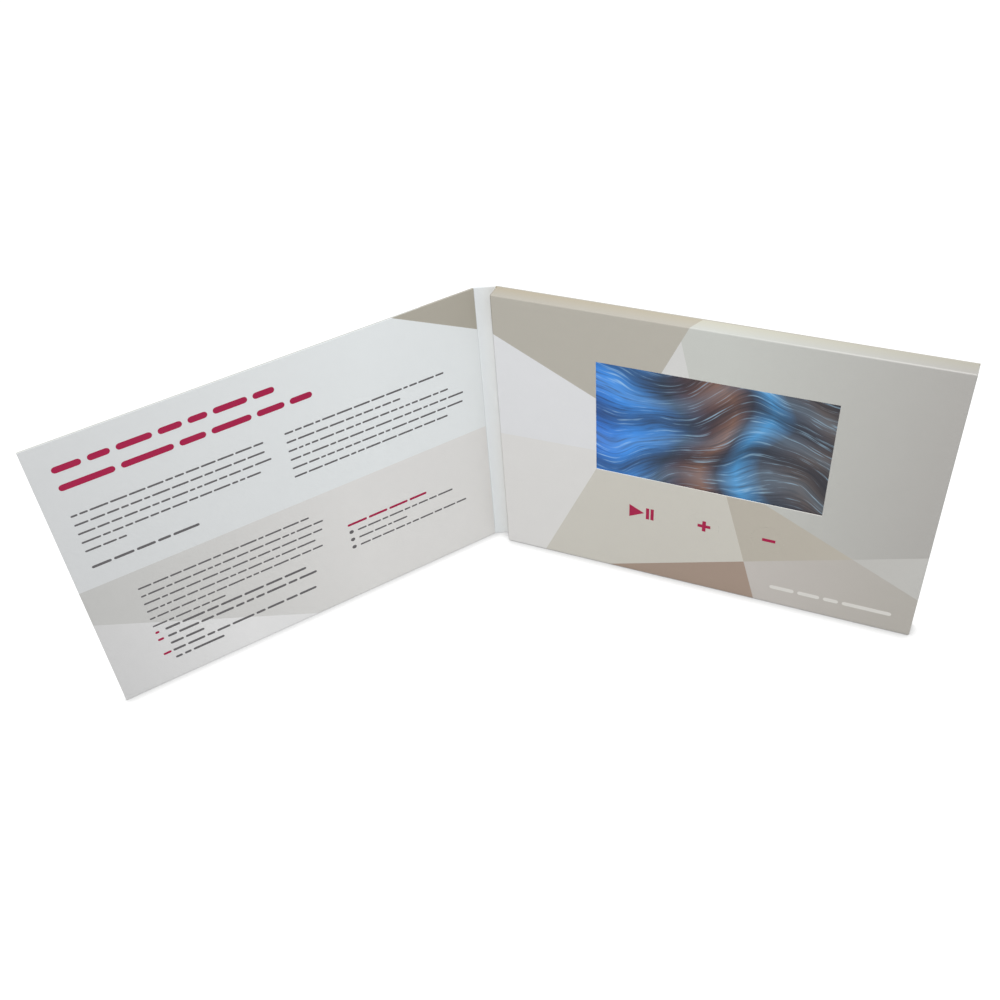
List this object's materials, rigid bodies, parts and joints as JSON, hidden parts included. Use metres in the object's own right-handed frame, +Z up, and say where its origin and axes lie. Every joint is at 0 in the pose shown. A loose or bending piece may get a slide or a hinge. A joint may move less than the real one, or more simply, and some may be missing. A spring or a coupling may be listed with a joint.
{
  "type": "lcd video brochure",
  "caption": "Folding card brochure: a thin cover on a scored spine opens to a card case with a lit screen and three press keys.",
  "frame": {"origin": "centre of the case's base, the face that the standing brochure rests on", "axes": "+X from the spine to the case's free end, +Y out of the case's back, +Z up"},
  "size_m": [0.3389, 0.1761, 0.148],
  "materials": {
    "printed_card": "matt laminated print on card",
    "wrap_board": "matt laminated print on board",
    "liner_sheet": "matt coated print",
    "adhesive_foam": "black double sided foam tape",
    "folded_steel": "thin folded sheet",
    "light_guide": "clear moulded sheet",
    "screen_picture": "lit screen behind a polariser",
    "amber_film": "amber film",
    "black_moulding": "black moulding",
    "white_moulding": "natural white moulding",
    "circuit_board": "green solder mask",
    "nickel_plate": "nickel plate",
    "chip_ceramic": "tan ceramic",
    "pouch_film": "laminated foil pouch",
    "speaker_paper": "black paper cone",
    "lead_jacket": "soft jacket",
    "foam": "closed cell foam sheet"
  },
  "bodies": {
    "case": {"case_tray": "printed_card", "back_board": "wrap_board", "base_liner": "liner_sheet", "window_gasket": "adhesive_foam", "screen_pan": "folded_steel", "screen_backlight": "light_guide", "screen_glass": "screen_picture", "screen_ribbon": "amber_film", "key_switches": "black_moulding", "key_board": "circuit_board", "main_board": "circuit_board", "board_pads": "adhesive_foam", "charging_socket": "nickel_plate", "socket_tongue": "black_moulding", "processor": "black_moulding", "memory_chip": "black_moulding", "sound_amplifier": "black_moulding", "crystal": "nickel_plate", "lid_sensor": "black_moulding", "small_components": "chip_ceramic", "ribbon_clamp": "white_moulding", "lead_plugs": "white_moulding", "battery": "pouch_film", "battery_guard_board": "circuit_board", "battery_tape_strip": "adhesive_foam", "speaker_frame": "folded_steel", "speaker_cone": "speaker_paper", "speaker_magnet": "nickel_plate", "battery_leads": "lead_jacket", "speaker_leads": "lead_jacket", "key_leads": "lead_jacket", "foam_spacer": "foam"},
    "spine": {"spine_liner": "liner_sheet", "spine_board": "wrap_board"},
    "cover": {"cover_liner": "liner_sheet", "cover_board": "wrap_board", "cover_magnet": "nickel_plate"},
    "play_pause_button": {"play_pause_pad": "printed_card", "play_pause_stem": "black_moulding"},
    "volume_up_button": {"volume_up_pad": "printed_card", "volume_up_stem": "black_moulding"},
    "volume_down_button": {"volume_down_pad": "printed_card", "volume_down_stem": "black_moulding"}
  },
  "joints": [
    {"name": "spine_fold", "type": "hinge", "parent": "case", "child": "spine", "pos_m": [-0.105, 0.0032, 0], "axis": [0, 0, 1], "range_deg": [-27, 63]},
    {"name": "cover_fold", "type": "hinge", "parent": "spine", "child": "cover", "pos_m": [-0.11355, -0.00116, 0], "axis": [0, 0, 1], "range_deg": [-28, 62]},
    {"name": "play_pause_press", "type": "slide", "parent": "case", "child": "play_pause_button", "axis": [0, 1, 0], "range_m": [0, 0.00025], "stiffness_N_per_m": 3000},
    {"name": "volume_up_press", "type": "slide", "parent": "case", "child": "volume_up_button", "axis": [0, 1, 0], "range_m": [0, 0.00025], "stiffness_N_per_m": 3000},
    {"name": "volume_down_press", "type": "slide", "parent": "case", "child": "volume_down_button", "axis": [0, 1, 0], "range_m": [0, 0.00025], "stiffness_N_per_m": 3000}
  ]
}
